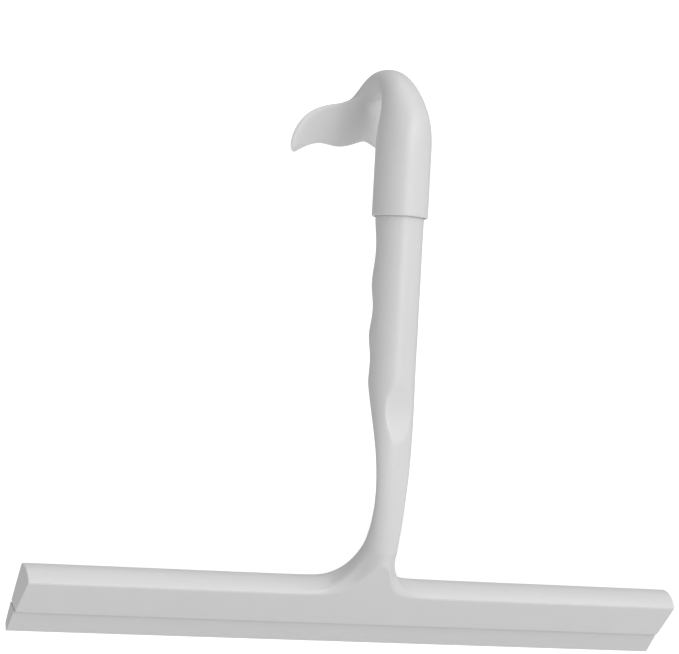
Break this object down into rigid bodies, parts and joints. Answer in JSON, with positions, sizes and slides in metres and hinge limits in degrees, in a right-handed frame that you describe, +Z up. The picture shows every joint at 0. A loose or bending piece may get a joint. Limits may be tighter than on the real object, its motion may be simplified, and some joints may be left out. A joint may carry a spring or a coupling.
{
  "type": "window cleaning squeegee",
  "caption": "T-shaped window squeegee: contoured grip with thumb rest, slanted blade holder, slide-in silicone blade and a swivelling whale-tail hook cap for a glass edge.",
  "frame": {"origin": "the inside of the hook's crown, where the squeegee hangs on the top edge of a glass panel", "axes": "+X along the blade holder, to the right when the front is seen; +Y from the handle through the hook's throat, towards the glass side; +Z up along the handle"},
  "size_m": [0.3, 0.0551, 0.2437],
  "materials": {
    "body_plastic": "fine satin moulded plastic, light neutral grey",
    "cap_plastic": "fine satin moulded plastic, light neutral grey",
    "silicone": "smooth soft silicone, light grey",
    "ring_rubber": "plain black rubber"
  },
  "bodies": {
    "hook_cap": {"hook_cap": "cap_plastic"},
    "ring": {"seal_ring": "ring_rubber"},
    "handle": {"body": "body_plastic"},
    "blade": {"blade": "silicone"}
  },
  "joints": [
    {"name": "handle_pull_off", "type": "slide", "parent": "hook_cap", "child": "ring", "axis": [0, 0, -1], "range_m": [0, 0.04]},
    {"name": "handle_swivel", "type": "hinge", "parent": "ring", "child": "handle", "pos_m": [0, -0.021, -0.0375], "axis": [0, 0, 1], "continuous": true},
    {"name": "blade_slide", "type": "slide", "parent": "handle", "child": "blade", "axis": [1, 0, 0], "range_m": [0, 0.3]}
  ]
}
